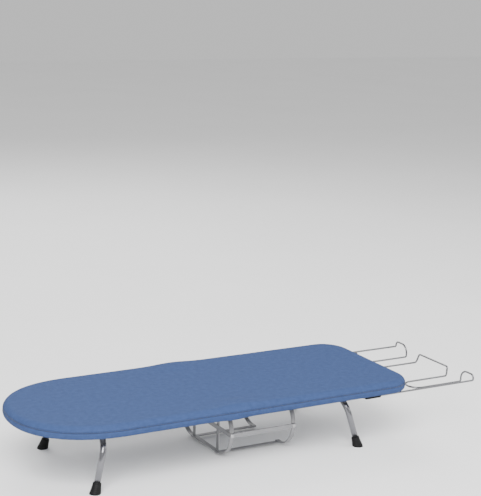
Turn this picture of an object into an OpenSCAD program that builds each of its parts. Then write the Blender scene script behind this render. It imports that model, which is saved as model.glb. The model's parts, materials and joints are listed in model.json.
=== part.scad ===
// Folding table-top ironing board: two padded halves on folding legs, with an
// iron basket, a pull-out wire iron rest and a hanging hook under the square half.
// The board lies along X with its nose towards -X, its feet stand on z = 0,
// and the origin is under the middle of the whole object.

/* [Board] */
// Width of the covered board
board_w = 320; // [312:1:328]
// Length from the fold to the square end
square_len = 430; // [426:1:436]
// Length from the fold to the tip of the nose
nose_len = 424; // [416:1:426]
// Radius of the corners at the square end
corner_r = 57; // [40:1:70]
// Length of the stretch over which the nose rounds off
nose_round = 184; // [150:1:220]
// Squareness of the nose: 2 is an ellipse, more is squarer
nose_power = 2.2; // [2:0.1:3]
// Height of the ironing surface above the table
top_z = 140; // [138:1:146]
// Depth of the covered edge
board_t = 26; // [25:1:28]

/* [Cover and pad] */
// Thickness of the cover cloth with its lining
cloth_t = 1.6; // [1.2:0.1:2]
// Thickness of the pad under the cover
pad_t = 5.7; // [5:0.1:6]
// Width of the hem turned under the edge
hem_w = 15; // [12:1:18]

/* [Frame] */
// Distance of each rail from the middle of the board
rail_y = 51; // [50:1:52]
// Width of a rail
rail_w = 14; // [13:0.5:14]
// Gauge of the pressed steel
gauge = 1.2; // [1:0.1:1.4]
// Width of the flat flange round the frame
flange_w = 12; // [8:1:13]

/* [Legs] */
// Diameter of the leg tube
tube_d = 12.7; // [12:0.1:13]
// Wall of the leg tube
tube_wall = 1; // [0.8:0.1:1.5]
// Distance of the square half's leg pivot from the fold
square_pivot_x = 277; // [274:1:279]
// Distance of the nose half's leg pivot from the fold
nose_pivot_x = 272; // [265:1:290]
// Splay of the open legs from upright
leg_splay = 15; // [12:1:16]
// Distance of each foot from the middle of the board
foot_y = 133; // [130:1:134]
// Radius of the bend in a leg, to the middle of the tube
leg_bend_r = 48; // [44:1:52]
// Angle of the bend in a leg
leg_bend = 82; // [80:1:84]

/* [Basket] */
// Width of the flat strip
strip_w = 9.5; // [9:0.5:10]
// Thickness of the flat strip
strip_t = 2; // [1.5:0.1:2]
// Outer radius of the basket's round sides
ring_r = 53.5; // [52:0.5:54]
// Distance of the round sides' centres from the middle
ring_y = 56; // [54:1:57]
// Distance between the two rings
basket_len = 147; // [140:1:150]
// Distance of the front bars from the middle
front_bar_y = 52; // [50:1:52]

/* [Iron rest] */
// Diameter of the iron rest's wire
wire_d = 4; // [3.8:0.1:4]
// How far the iron rest is drawn out
rest_travel = 168; // [160:1:175]
// Height of the loops
loop_z = 95; // [94:0.5:96]
// Height of the outer rods, which run in the clips
rest_rod_z = 109.5; // [108.5:0.5:109.5]
// Height of the crossbar
crossbar_z = 115; // [113:0.5:116]
// Height of the arches between the rods and the loops
arch_z = 122; // [121.5:0.5:126]
// Distance of the outer rods from the middle
rod_y = 143; // [142.5:0.5:143.5]
// Distance of each loop's outer leg from the middle
loop_out_y = 101; // [100:1:102]
// Distance of each loop's inner leg from the middle
loop_in_y = 56; // [56:0.5:57]
// Length of each loop
loop_len = 130; // [128:0.5:135]

/* [Hanging hook] */
// Diameter of the hook's wire
hook_d = 4.5; // [4:0.1:4.5]
// Inner bend radius of the hook, to the middle of the wire
hook_r = 18; // [16:1:20]

/* [Hidden] */
$fn = 48;

LEFT = -1;
RIGHT = 1;
STEEL = "silver";
BASKET_STEEL = "gainsboro";
CLOTH = "steelblue";
BLACK = [0.08, 0.08, 0.09];

// Levels, from the table up
half_w = board_w / 2;
under_z = top_z - board_t;
rail_z = under_z - 0.4;
pivot_z = rail_z - tube_d / 2 - 0.25;
frame_z = under_z + cloth_t + 0.2;
mesh_t = 1.4;
pad_top_z = top_z - cloth_t - 0.2;
pad_z = pad_top_z - pad_t;
mesh_z = pad_z - 0.3 - mesh_t;

// The fold: the halves stop short of its plane, and its axis lies above the cover
fold_gap = 0.4;
hinge_z = top_z + 0.5;
knuckle_r = 2.5;
pin_r = 1.2;
leaf_y = 124;
leaf_w = 24;
leaf_t = 1.2;

// Clearances
fit = 0.05;
soft_gap = 0.3;

// Ends of the iron rest, drawn out as it stands in use
rest_end_x = square_len + 4 + rest_travel;
clip_x = square_len - 119;
clip_len = 38;
rod_end_x = clip_x - wire_d / 2 - 0.4;

// The whole object reaches from the tip of the nose to the iron rest's outer edge
fold_x = (nose_len - rest_end_x - wire_d / 2) / 2;

// Puts geometry measured from the fold into the part's own frame
module from_fold() {
    translate([fold_x, 0, 0]) children();
}

module nose_side() {
    from_fold() mirror([1, 0, 0]) children();
}

module both_sides() {
    children();
    mirror([0, 1, 0]) children();
}

// ---- Plan outlines, drawn towards +X from x0 ----

function square_points(inset, x0) =
    let (r = corner_r - inset, cx = square_len - corner_r, cy = half_w - corner_r)
    concat(
        [[x0, -(half_w - inset)]],
        [for (a = [-90:6:0]) [cx + r * cos(a), -cy + r * sin(a)]],
        [for (a = [0:6:90]) [cx + r * cos(a), cy + r * sin(a)]],
        [[x0, half_w - inset]]);

function nose_points(inset, x0) =
    let (e = 2 / nose_power, cx = nose_len - nose_round)
    concat(
        [[x0, -(half_w - inset)]],
        [for (a = [-90:5:90])
            [cx + (nose_round - inset) * pow(cos(a), e),
             (half_w - inset) * sign(a) * pow(abs(sin(a)), e)]],
        [[x0, half_w - inset]]);

module plan(end, inset, x0) {
    polygon(end == "nose" ? nose_points(inset, x0) : square_points(inset, x0));
}

module slab(end, inset, x0, z, t) {
    translate([0, 0, z]) linear_extrude(t) plan(end, inset, x0);
}

// A beam along Y, centred on the middle, from a profile drawn in X and Z
module across(w) {
    translate([0, w / 2, 0]) rotate([90, 0, 0]) linear_extrude(w) children();
}

// A cylinder along Y starting at y0
module along_y(x, y0, z, r, len) {
    translate([x, y0, z]) rotate([-90, 0, 0]) cylinder(r = r, h = len);
}

// ---- Wires and tubes swept along a path ----

function unit(v) = v / norm(v);

function tangent(path, i) =
    unit(path[min(i + 1, len(path) - 1)] - path[max(i - 1, 0)]);

function carried(n, t) = unit(n - (n * t) * t);

function side_of(t) = unit(cross(t, abs(t[2]) < 0.9 ? [0, 0, 1] : [1, 0, 0]));

function carried_normals(path) =
    let (last = len(path) - 1)
    [for (i = 0, n = side_of(tangent(path, 0)); i <= last;
          i = i + 1, n = carried(n, tangent(path, min(i, last)))) n];

// Arc that rounds the corner b between a and c
function corner_arc(a, b, c, r, steps) =
    let (u = unit(a - b), v = unit(c - b), half = acos(u * v) / 2,
         centre = b + unit(u + v) * r / sin(half),
         from = b + u * r / tan(half) - centre,
         to = b + v * r / tan(half) - centre,
         turn = 180 - 2 * half)
    [for (k = [0:steps])
        centre + (sin(turn * (1 - k / steps)) * from + sin(turn * k / steps) * to) / sin(turn)];

// Path through corners [point, radius], whose two ends have no radius
function rounded_path(corners, steps) =
    let (last = len(corners) - 1)
    concat(
        [corners[0][0]],
        [for (i = [1:last - 1])
            each corner_arc(corners[i - 1][0], corners[i][0], corners[i + 1][0],
                            corners[i][1], steps)],
        [corners[last][0]]);

module swept_tube(path, d, sides) {
    normals = carried_normals(path);
    last = len(path) - 1;
    points = [for (i = [0:last])
        let (t = tangent(path, i), b = cross(t, normals[i]))
        for (k = [0:sides - 1])
            path[i] + d / 2 * (cos(360 * k / sides) * normals[i] + sin(360 * k / sides) * b)];
    walls = [for (i = [0:last - 1]) for (k = [0:sides - 1])
        let (a = i * sides + k, b = i * sides + (k + 1) % sides)
        each [[a, a + sides, b], [b, a + sides, b + sides]]];
    first_cap = [for (k = [0:sides - 1]) k];
    last_cap = [for (k = [sides - 1:-1:0]) last * sides + k];
    polyhedron(points, concat([first_cap], walls, [last_cap]));
}

// ---- Fasteners ----

// Tubular rivet head on a face that looks down
module rivet_head(x, y, z) {
    translate([x, y, z]) mirror([0, 0, 1])
        rotate_extrude()
            polygon([[1.3, 0], [4.2, 0], [4.2, 0.6], [3.2, 1.6], [1.9, 1.9], [1.3, 1.5]]);
}

// Flat rivet head, 1.3 thick, on a face that looks along +Z
module flat_rivet() {
    rotate_extrude() polygon([[0, 0], [4.2, 0], [4.2, 0.7], [3.4, 1.3], [0, 1.3]]);
}

// ---- Board halves ----

module hinge_space() {
    both_sides() along_y(0, leaf_y - soft_gap, hinge_z, knuckle_r + 1, leaf_w + 2 * soft_gap);
    both_sides() translate([-2, leaf_y - soft_gap, pad_z - 1])
        cube([4, leaf_w + 2 * soft_gap, hinge_z - pad_z]);
}

module cover(end) {
    difference() {
        slab(end, 0, fold_gap, under_z, board_t);
        slab(end, cloth_t, -1, under_z + cloth_t, board_t - 2 * cloth_t);
        slab(end, hem_w, -1, under_z - 1, cloth_t + 2);
        hinge_space();
    }
}

module pad(end) {
    difference() {
        slab(end, cloth_t + soft_gap, fold_gap, pad_z, pad_t);
        hinge_space();
    }
}

module mesh_panel(end) {
    slab(end, cloth_t + 0.8, 1.9, mesh_z, mesh_t);
}

// Pressed angle round the edge: an upright wall with a flange along its bottom
module frame(end) {
    wall_in = cloth_t + 0.6;
    x0 = 1.9 + leaf_t;
    difference() {
        slab(end, wall_in, x0, frame_z, mesh_z - frame_z);
        slab(end, wall_in + gauge, -1, frame_z + gauge, mesh_z - frame_z);
        slab(end, wall_in + flange_w, -1, frame_z - 1, gauge + 2);
    }
}

// Angle bar that closes the frame along the fold
module fold_bar() {
    x0 = 1.9;
    across(2 * (half_w - cloth_t - 0.6 - flange_w) - 0.2)
        polygon([
            [x0, frame_z], [x0 + hem_w, frame_z], [x0 + hem_w, frame_z + gauge],
            [x0 + gauge, frame_z + gauge], [x0 + gauge, mesh_z], [x0, mesh_z]
        ]);
}

// Channel rail on its web, with a flat tab over the fold bar
module rail(side, end_x) {
    start_x = 1.9 + hem_w + 0.2;
    translate([0, side * rail_y, 0]) {
        difference() {
            translate([start_x, -rail_w / 2, rail_z]) cube([end_x - start_x, rail_w, mesh_z - rail_z]);
            translate([start_x - 1, gauge - rail_w / 2, rail_z + gauge])
                cube([end_x - start_x + 2, rail_w - 2 * gauge, mesh_z - rail_z]);
        }
        translate([5.2, -rail_w / 2, rail_z]) cube([start_x - 5.2, rail_w, gauge]);
    }
}

module tie_plate(pivot_x) {
    plate_w = 13.5;
    inner_w = 2 * rail_y - rail_w;
    translate([pivot_x + 13.5, -inner_w / 2, rail_z]) cube([plate_w, inner_w, gauge]);
}

// Strap over each leg tube, riveted to the rails
module leg_saddles(pivot_x) {
    strap_t = 1.5;
    reach = 25;
    bore_r = tube_d / 2 + fit;
    both_sides() difference() {
        translate([pivot_x, rail_y, 0]) intersection() {
            union() {
                along_y(0, -rail_w / 2, pivot_z, bore_r + strap_t, rail_w);
                translate([-bore_r - strap_t, -rail_w / 2, pivot_z])
                    cube([2 * (bore_r + strap_t), rail_w, rail_z - pivot_z]);
                translate([-reach, -rail_w / 2, rail_z - strap_t]) cube([2 * reach, rail_w, strap_t]);
            }
            translate([-reach, -rail_w, rail_z - 50]) cube([2 * reach, 2 * rail_w, 50]);
        }
        along_y(pivot_x, rail_y - rail_w, pivot_z, bore_r, 2 * rail_w);
    }
}

// Rivets of the leg straps
module strap_rivets(pivot_x) {
    both_sides() for (dx = [-17, 17]) rivet_head(pivot_x + dx, rail_y, rail_z - 1.5);
}

// Hinge leaf with one or two knuckles, on the +X side of the fold
module hinge_leaf(knuckles) {
    knuckle_w = leaf_w / 3;
    leaf_z = frame_z + 3;
    both_sides() difference() {
        union() {
            translate([0.5, leaf_y, leaf_z])
                cube([leaf_t, leaf_w, hinge_z - knuckle_r - 0.6 - leaf_z]);
            for (k = knuckles) {
                y0 = leaf_y + k * knuckle_w + fit;
                translate([0.5, y0, pad_z]) cube([leaf_t, knuckle_w - 2 * fit, hinge_z - 2 - pad_z]);
                along_y(0, y0, hinge_z, knuckle_r, knuckle_w - 2 * fit);
            }
        }
        along_y(0, leaf_y - 1, hinge_z, pin_r + fit, leaf_w + 2);
    }
}

// Black plastic ends that close the frame's corners at the fold
module fold_end_caps() {
    cap_w = 6.5;
    both_sides() translate([0.6, half_w - cloth_t - 2 - gauge - cap_w, frame_z + gauge + 0.1])
        cube([11, cap_w, mesh_z - frame_z - gauge - 0.3]);
}

module cover_nose() { color(CLOTH) nose_side() cover("nose"); }
module pad_nose() { color("lightsteelblue") nose_side() pad("nose"); }
module mesh_nose() { color("lightgray") nose_side() mesh_panel("nose"); }
module frame_nose() { color("dimgray") nose_side() frame("nose"); }
module fold_bar_nose() { color("darkgray") nose_side() fold_bar(); }
module rail_nose_left() { color(STEEL) nose_side() rail(LEFT, nose_len - 30); }
module rail_nose_right() { color(STEEL) nose_side() rail(RIGHT, nose_len - 30); }
module tie_plate_nose() { color(STEEL) nose_side() tie_plate(nose_pivot_x); }
module leg_saddles_nose() { color("gainsboro") nose_side() leg_saddles(nose_pivot_x); }
module rivets_nose() { color("white") nose_side() strap_rivets(nose_pivot_x); }
module hinge_leaves_nose() { color("gray") nose_side() hinge_leaf([0, 2]); }
module fold_end_caps_nose() { color(BLACK) nose_side() fold_end_caps(); }

module hinge_pins() {
    color("gray") from_fold() both_sides() along_y(0, leaf_y + 0.3, hinge_z, pin_r, leaf_w - 0.6);
}

module cover_square() { color(CLOTH) from_fold() cover("square"); }
module pad_square() { color("lightsteelblue") from_fold() pad("square"); }
module mesh_square() { color("lightgray") from_fold() mesh_panel("square"); }
module frame_square() { color("dimgray") from_fold() frame("square"); }
module fold_bar_square() { color("darkgray") from_fold() fold_bar(); }
module rail_square_left() { color(STEEL) from_fold() rail(LEFT, square_len - 22); }
module rail_square_right() { color(STEEL) from_fold() rail(RIGHT, square_len - 22); }
module tie_plate_square() { color(STEEL) from_fold() tie_plate(square_pivot_x); }
module leg_saddles_square() { color("gainsboro") from_fold() leg_saddles(square_pivot_x); }
module hinge_leaves_square() { color("gray") from_fold() hinge_leaf([1]); }
module fold_end_caps_square() { color(BLACK) from_fold() fold_end_caps(); }

module rivets_square() {
    color("white") from_fold() {
        strap_rivets(square_pivot_x);
        rivet_head(lock_x + lock_len / 2, rail_y, lock_z);
    }
}

// Rod along the fold under the square half, held by a clip near each end
rod_r = 1.9;
rod_x = fold_gap + rod_r + 0.3;
rod_z = frame_z - rod_r - 0.2;
rod_len = 284;

module fold_rod() {
    color(STEEL) from_fold() along_y(rod_x, -rod_len / 2, rod_z, rod_r, rod_len);
}

module fold_rod_clips() {
    clip_w = 5;
    color("white") from_fold() both_sides() difference() {
        translate([fold_gap + 0.1, rod_len / 2 - clip_w - 1, rod_z - rod_r - 1])
            cube([8, clip_w, frame_z - rod_z + rod_r + 1]);
        along_y(rod_x, rod_len / 2 - clip_w - 2, rod_z, rod_r + 0.02, clip_w + 2);
    }
}

// ---- Basket ----

ring_z = rail_z - ring_r;
ring_x = 5.5;
open_ring_x = ring_x + basket_len;
bar_len = basket_len + strip_w;

module stadium(r) {
    translate([-ring_y, -r]) square([2 * ring_y, 2 * r]);
    for (s = [LEFT, RIGHT]) translate([s * ring_y, 0]) circle(r = r, $fn = 96);
}

// Ring in the YZ plane, one strip wide along X, drawn with the 2D y axis upwards
module ring_band(x) {
    translate([x, 0, ring_z]) rotate([90, 0, 90]) linear_extrude(strip_w) difference() {
        stadium(ring_r);
        stadium(ring_r - strip_t);
        children();
    }
}

// What lies between the rails at the top of a ring
module between_rails() {
    inner_w = 2 * rail_y - rail_w;
    translate([-inner_w / 2, 0]) square([inner_w, 2 * ring_r]);
}

module basket_end_ring() {
    color(BASKET_STEEL) from_fold() ring_band(ring_x) between_rails();
}

// One side of the ring at the basket's mouth, open between the front bars
module open_ring(side) {
    tail = front_bar_y - strip_w / 2;
    ring_band(open_ring_x) {
        between_rails();
        translate([-tail, -2 * ring_r]) square([2 * tail, 2 * ring_r]);
        translate([side == LEFT ? 0 : -2 * ring_r - ring_y, -2 * ring_r])
            square([2 * ring_r + ring_y, 4 * ring_r]);
    }
}

module basket_open_ring_left() { color(BASKET_STEEL) from_fold() open_ring(LEFT); }
module basket_open_ring_right() { color(BASKET_STEEL) from_fold() open_ring(RIGHT); }

module basket_front_bars() {
    color(BASKET_STEEL) from_fold() both_sides()
        translate([ring_x, front_bar_y - strip_w / 2, ring_z - ring_r - strip_t])
            cube([bar_len, strip_w, strip_t]);
}

module basket_side_bars() {
    color(BASKET_STEEL) from_fold() both_sides()
        translate([ring_x, ring_y + ring_r, ring_z - strip_w / 2])
            cube([bar_len, strip_t, strip_w]);
}

// Strips across the end ring that stop the iron from sliding out
module basket_cross_strip() {
    inner = ring_y + ring_r - strip_t - 0.3;
    color(BASKET_STEEL) from_fold() translate([ring_x + 2, -inner, ring_z - strip_w / 2])
        cube([strip_t, 2 * inner, strip_w]);
}

module basket_upright_strips() {
    low = ring_z - ring_r + strip_t;
    high = rail_z - strip_t - 1.5;
    color(BASKET_STEEL) from_fold() both_sides()
        translate([ring_x + 2 + strip_t, front_bar_y - strip_w / 2 - 1, low])
            cube([strip_t, strip_w, high - low]);
}

module basket_rivets() {
    color("lightgray") from_fold() for (x = [ring_x, open_ring_x]) both_sides() {
        translate([x + strip_w / 2, front_bar_y, ring_z - ring_r - strip_t])
            mirror([0, 0, 1]) flat_rivet();
        translate([x + strip_w / 2, ring_y + ring_r + strip_t, ring_z])
            rotate([-90, 0, 0]) flat_rivet();
        translate([x + strip_w / 2, rail_y, rail_z - strip_t])
            mirror([0, 0, 1]) flat_rivet();
    }
}

// ---- Iron rest ----

module rest_clip(side) {
    w = 12;
    bore_r = wire_d / 2 + fit;
    low_z = rest_rod_z - bore_r - 1;
    difference() {
        translate([clip_x, side * rod_y - w / 2, low_z]) cube([clip_len, w, under_z - 0.2 - low_z]);
        translate([clip_x - 1, side * rod_y, rest_rod_z]) rotate([0, 90, 0])
            cylinder(r = bore_r, h = clip_len + 2);
    }
}

module rest_clip_left() { color(BLACK) from_fold() rest_clip(LEFT); }
module rest_clip_right() { color(BLACK) from_fold() rest_clip(RIGHT); }

// One bent wire: crossbar, loop, arch and rod on one side, mirrored on the other
function rest_corners(s) = [
    [[rest_end_x, 0, crossbar_z], 0],
    [[rest_end_x, s * 52, crossbar_z], 5],
    [[rest_end_x - 5, s * loop_in_y, loop_z], 6],
    [[rest_end_x - loop_len, s * loop_in_y, loop_z], 22.4],
    [[rest_end_x - loop_len, s * loop_out_y, loop_z], 22.4],
    [[rest_end_x, s * loop_out_y, loop_z], 4],
    [[rest_end_x, s * loop_out_y, arch_z], 19],
    [[rest_end_x, s * rod_y, arch_z], 9],
    [[rest_end_x, s * rod_y, rest_rod_z], 3],
    [[rod_end_x, s * rod_y, rest_rod_z], 2.2],
    [[rod_end_x, s * (rod_y - 6), rest_rod_z], 0]
];

module iron_rest_wire() {
    right = rounded_path(rest_corners(RIGHT), 6);
    left = rounded_path(rest_corners(LEFT), 6);
    whole = concat([for (i = [len(left) - 1:-1:1]) left[i]], [for (i = [1:len(right) - 1]) right[i]]);
    color("white") from_fold() swept_tube(whole, wire_d, 12);
}

// ---- Hanging hook ----

hook_x = square_len - 38;
hook_z = rail_z - 5.1;
ear_t = 3;
ear_y = 6;

// Bracket on the mesh, with two ears that hold the hook's pin
module hook_bracket() {
    w = 28;
    len = 24;
    plate_z = rail_z - 1.5;
    color("whitesmoke") from_fold() translate([square_len - 45, -w / 2, 0]) difference() {
        union() {
            translate([0, 0, plate_z]) cube([len, w, 1.5]);
            for (y = [0, w - gauge]) translate([0, y, plate_z]) cube([len, gauge, mesh_z - plate_z]);
            for (y = [w / 2 - ear_y - ear_t, w / 2 + ear_y])
                translate([3.5, y, hook_z - 3.6]) cube([7, ear_t, plate_z - hook_z + 3.6]);
        }
        translate([7, -1, hook_z]) rotate([-90, 0, 0]) cylinder(r = 1.5 + fit, h = w + 2);
    }
}

module hook_pin() {
    len = 2 * (ear_y + ear_t);
    color(STEEL) from_fold() along_y(hook_x, -len / 2, hook_z, 1.5, len);
}

// Stem, jog and round of the hook, from its eye to the start of its tip
function hook_corners() =
    let (foot_x = hook_x - 101)
    [
        [[hook_x - 2.6, 0, hook_z], 0],
        [[hook_x - 50, -2, hook_z], 12],
        [[hook_x - 72, hook_r, hook_z], 10],
        [[foot_x, hook_r, hook_z], hook_r - 1],
        [[foot_x, -hook_r, hook_z], hook_r - 1],
        [[foot_x + 18, -hook_r - 7, hook_z], 0]
    ];

module hook_wire() {
    eye_w = 2 * ear_y - 1;
    color("white") from_fold() {
        swept_tube(rounded_path(hook_corners(), 8), hook_d, 12);
        difference() {
            along_y(hook_x, -eye_w / 2, hook_z, 3.3, eye_w);
            along_y(hook_x, -eye_w, hook_z, 1.5 + fit, 2 * eye_w);
        }
    }
}

// Rubber tip over the hook's end
module hook_tip() {
    corners = hook_corners();
    end = corners[len(corners) - 1][0];
    back = unit(corners[len(corners) - 2][0] - end);
    turn = atan2(back[1], back[0]);
    color(BLACK) from_fold() translate(end) rotate([0, 0, turn]) rotate([0, 90, 0]) difference() {
        translate([0, 0, -4]) cylinder(r = 4.2, h = 14);
        cylinder(r = hook_d / 2, h = 14);
    }
}

// ---- Cover's drawstring and its lock, on the right rail ----

lock_x = square_len - 102;
lock_len = 33;
lock_w = 23;
lock_z = rail_z - 11.6;

module cord_lock() {
    color(BLACK) from_fold() difference() {
        union() {
            translate([lock_x, rail_y - lock_w / 2, lock_z]) cube([lock_len, lock_w, 18]);
            translate([lock_x + 1, rail_y - lock_w / 2 - 8, lock_z + 3]) cube([4, 9, 5]);
        }
        translate([lock_x - 1, rail_y - rail_w / 2, rail_z]) cube([lock_len + 2, rail_w, 20]);
    }
}

// Two thin cords from the hem to the lock
module drawstring() {
    cord_r = 0.9;
    hem_x = square_len - hem_w + 3;
    color("dimgray") from_fold() for (y = [[42.5, 38], [46.5, 41]]) {
        from = [lock_x + lock_len, y[0], rail_z - 6];
        to = [hem_x, y[1], under_z - cord_r - 0.1];
        swept_tube([from, (from + to) / 2 + [0, 0, -0.5], to], 2 * cord_r, 8);
    }
}

// ---- Strap that hangs over the square end's edge ----

module edge_strap() {
    w = 8;
    t = 1.5;
    start_x = square_len - 26;
    end_x = square_len + 0.7;
    color("darkgray") from_fold() translate([0, 65, 0]) across(w) polygon([
        [start_x, rail_z - t + 0.1], [end_x + t, rail_z - t + 0.1], [end_x + t, top_z - 4],
        [end_x, top_z - 4], [end_x, rail_z + 0.1], [start_x, rail_z + 0.1]
    ]);
}

// ---- Legs, drawn upright under the pivot and then splayed ----

leg_len = pivot_z / cos(leg_splay);
shank_len = (leg_len - leg_bend_r * (1 - cos(leg_bend))) / sin(leg_bend);
shank_y = foot_y - shank_len * cos(leg_bend);
bend_y = shank_y - leg_bend_r * sin(leg_bend);
foot_h = 21;
tube_inner_y = 24;
connector_w = 85;

module splayed(pivot_x) {
    translate([pivot_x, 0, pivot_z]) rotate([0, -leg_splay, 0]) children();
}

// Places children at the top of the shank, with +Z running down it
module down_shank() {
    translate([0, shank_y, -leg_bend_r * (1 - cos(leg_bend))])
        rotate([-90 - leg_bend, 0, 0]) children();
}

// Middle line of a leg tube, from y0 at the pivot to the end of its shank
function leg_path(y0, len) =
    let (corner_y = bend_y + leg_bend_r * tan(leg_bend / 2),
         down = [0, cos(leg_bend), -sin(leg_bend)])
    rounded_path([
        [[0, y0, 0], 0],
        [[0, corner_y, 0], leg_bend_r],
        [[0, shank_y, -leg_bend_r * (1 - cos(leg_bend))] + len * down, 0]
    ], 10);

module leg_tube(side, pivot_x) {
    len = shank_len - 9;
    splayed(pivot_x) mirror([0, side == LEFT ? 1 : 0, 0]) difference() {
        swept_tube(leg_path(tube_inner_y, len), tube_d, 32);
        swept_tube(leg_path(tube_inner_y - 1, len + 1), tube_d - 2 * tube_wall, 32);
    }
}

// Folded channel that joins the two tubes, with a lip that meets the rails as a stop
module leg_connector(pivot_x) {
    in = tube_d / 2 + 0.02;
    out = in + 1.5;
    splayed(pivot_x) across(connector_w) polygon([
        [-4, out], [out, out], [out, -out], [2.5, -out], [2.5, -out - 6], [1, -out - 6],
        [1, -in], [in, -in], [in, in], [-4, in]
    ]);
}

module leg_screws(pivot_x) {
    splayed(pivot_x) both_sides() translate([tube_d / 2 + 1.52, 36, 0]) rotate([0, 90, 0])
        rotate_extrude() polygon([[0, 0], [3.6, 0], [3.4, 1.1], [2.2, 2], [1, 2.2], [1, 1.2], [0, 1.2]]);
}

// Flared rubber foot with a flat sole on the table
module foot(side, pivot_x) {
    intersection() {
        splayed(pivot_x) mirror([0, side == LEFT ? 1 : 0, 0]) down_shank() difference() {
            translate([0, 0, shank_len - foot_h]) cylinder(d1 = 16, d2 = 23, h = foot_h + 3.2);
            cylinder(d = tube_d, h = shank_len - 9);
        }
        translate([pivot_x - 100, -half_w, 0]) cube([200, board_w, 60]);
    }
}

module leg_tube_nose_left() { color(STEEL) nose_side() leg_tube(LEFT, nose_pivot_x); }
module leg_tube_nose_right() { color(STEEL) nose_side() leg_tube(RIGHT, nose_pivot_x); }
module leg_connector_nose() { color("lightgray") nose_side() leg_connector(nose_pivot_x); }
module leg_screws_nose() { color("gray") nose_side() leg_screws(nose_pivot_x); }
module foot_nose_left() { color(BLACK) nose_side() foot(LEFT, nose_pivot_x); }
module foot_nose_right() { color(BLACK) nose_side() foot(RIGHT, nose_pivot_x); }

module leg_tube_square_left() { color(STEEL) from_fold() leg_tube(LEFT, square_pivot_x); }
module leg_tube_square_right() { color(STEEL) from_fold() leg_tube(RIGHT, square_pivot_x); }
module leg_connector_square() { color("lightgray") from_fold() leg_connector(square_pivot_x); }
module leg_screws_square() { color("gray") from_fold() leg_screws(square_pivot_x); }
module foot_square_left() { color(BLACK) from_fold() foot(LEFT, square_pivot_x); }
module foot_square_right() { color(BLACK) from_fold() foot(RIGHT, square_pivot_x); }

cover_nose();
pad_nose();
mesh_nose();
frame_nose();
fold_bar_nose();
rail_nose_left();
rail_nose_right();
tie_plate_nose();
leg_saddles_nose();
rivets_nose();
hinge_leaves_nose();
hinge_pins();
fold_end_caps_nose();
cover_square();
pad_square();
mesh_square();
frame_square();
fold_bar_square();
rail_square_left();
rail_square_right();
tie_plate_square();
leg_saddles_square();
rivets_square();
hinge_leaves_square();
fold_end_caps_square();
fold_rod();
fold_rod_clips();
basket_end_ring();
basket_open_ring_left();
basket_open_ring_right();
basket_front_bars();
basket_side_bars();
basket_cross_strip();
basket_upright_strips();
basket_rivets();
rest_clip_left();
rest_clip_right();
hook_bracket();
hook_pin();
cord_lock();
drawstring();
edge_strap();
leg_tube_nose_left();
leg_tube_nose_right();
leg_connector_nose();
leg_screws_nose();
foot_nose_left();
foot_nose_right();
leg_tube_square_left();
leg_tube_square_right();
leg_connector_square();
leg_screws_square();
foot_square_left();
foot_square_right();
iron_rest_wire();
hook_wire();
hook_tip();
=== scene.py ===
"""Looks of the folding table-top ironing board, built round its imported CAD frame. Metres throughout."""

import json
import math

import bmesh
import bpy
import numpy as np
from mathutils import Matrix, Vector, noise


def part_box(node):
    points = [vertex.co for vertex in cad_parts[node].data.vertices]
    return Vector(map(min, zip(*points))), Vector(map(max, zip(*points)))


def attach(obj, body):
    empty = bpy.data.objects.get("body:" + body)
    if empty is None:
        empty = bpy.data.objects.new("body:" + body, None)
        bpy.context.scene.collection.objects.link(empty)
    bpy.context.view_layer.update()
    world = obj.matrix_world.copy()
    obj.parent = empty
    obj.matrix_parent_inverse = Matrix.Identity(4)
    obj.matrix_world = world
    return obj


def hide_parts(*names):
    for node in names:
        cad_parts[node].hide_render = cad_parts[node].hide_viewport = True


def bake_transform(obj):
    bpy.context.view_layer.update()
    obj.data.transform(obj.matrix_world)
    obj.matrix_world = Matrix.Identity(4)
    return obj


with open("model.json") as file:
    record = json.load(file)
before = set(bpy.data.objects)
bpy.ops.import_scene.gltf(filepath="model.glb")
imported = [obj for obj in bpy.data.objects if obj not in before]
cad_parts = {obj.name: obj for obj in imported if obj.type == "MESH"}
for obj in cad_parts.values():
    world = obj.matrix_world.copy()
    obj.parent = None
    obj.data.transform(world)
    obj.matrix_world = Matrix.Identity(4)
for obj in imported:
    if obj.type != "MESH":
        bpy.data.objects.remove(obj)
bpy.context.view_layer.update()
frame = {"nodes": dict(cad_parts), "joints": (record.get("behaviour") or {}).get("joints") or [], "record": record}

MM = 0.001
LEFT, RIGHT = -1, 1
JOINTS = {j["name"]: j for j in frame["joints"]}

# ---- Places taken from the frame ----

FOLD_X = JOINTS["fold_hinge"]["pos_m"][0]
NOSE_TIP_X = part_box("cover_nose")[0].x
SQUARE_END_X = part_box("cover_square")[1].x
HALF_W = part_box("cover_square")[1].y
UNDER_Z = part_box("cover_square")[0].z
TOP_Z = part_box("cover_square")[1].z
PAD_LOW, PAD_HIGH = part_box("pad_square")[0].z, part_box("pad_square")[1].z
MESH_LOW, MESH_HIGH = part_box("mesh_square")[0].z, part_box("mesh_square")[1].z

# Plan outline of the board
CORNER_R = 57 * MM
NOSE_ROUND = 184 * MM
NOSE_POWER = 2.2

# Cover
RIM_W = 13 * MM
SEAM_DROP = 11.5 * MM
ROLL_R = 5 * MM
HEM_W = 15 * MM
CLOTH_T = 0.9 * MM
FOLD_COLUMNS, FOLD_COLUMNS_REACH = 13, 9 * MM

# Expanded metal
DIAMOND_LONG = 25.5 * MM
DIAMOND_SHORT = 11.5 * MM
STRAND_HALF_W = 0.62 * MM
STRAND_HALF_T = 0.42 * MM
KNOT_EXTRA = 0.5 * MM

# Legs
SPLAY = math.radians(15)
LEG_BEND_R = 48 * MM
LEG_BEND = math.radians(82)
FOOT_Y = 133 * MM
TUBE_R = 6.35 * MM
TUBE_INNER_Y = 24 * MM
FOOT_H = 21 * MM
FOOT_TOP_R = 8 * MM
FOOT_FLARE = 3.2 * MM
FOOT_RIBS, FOOT_RIB_H = 6, 0.35 * MM


# ---- Mesh helpers ----


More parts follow.
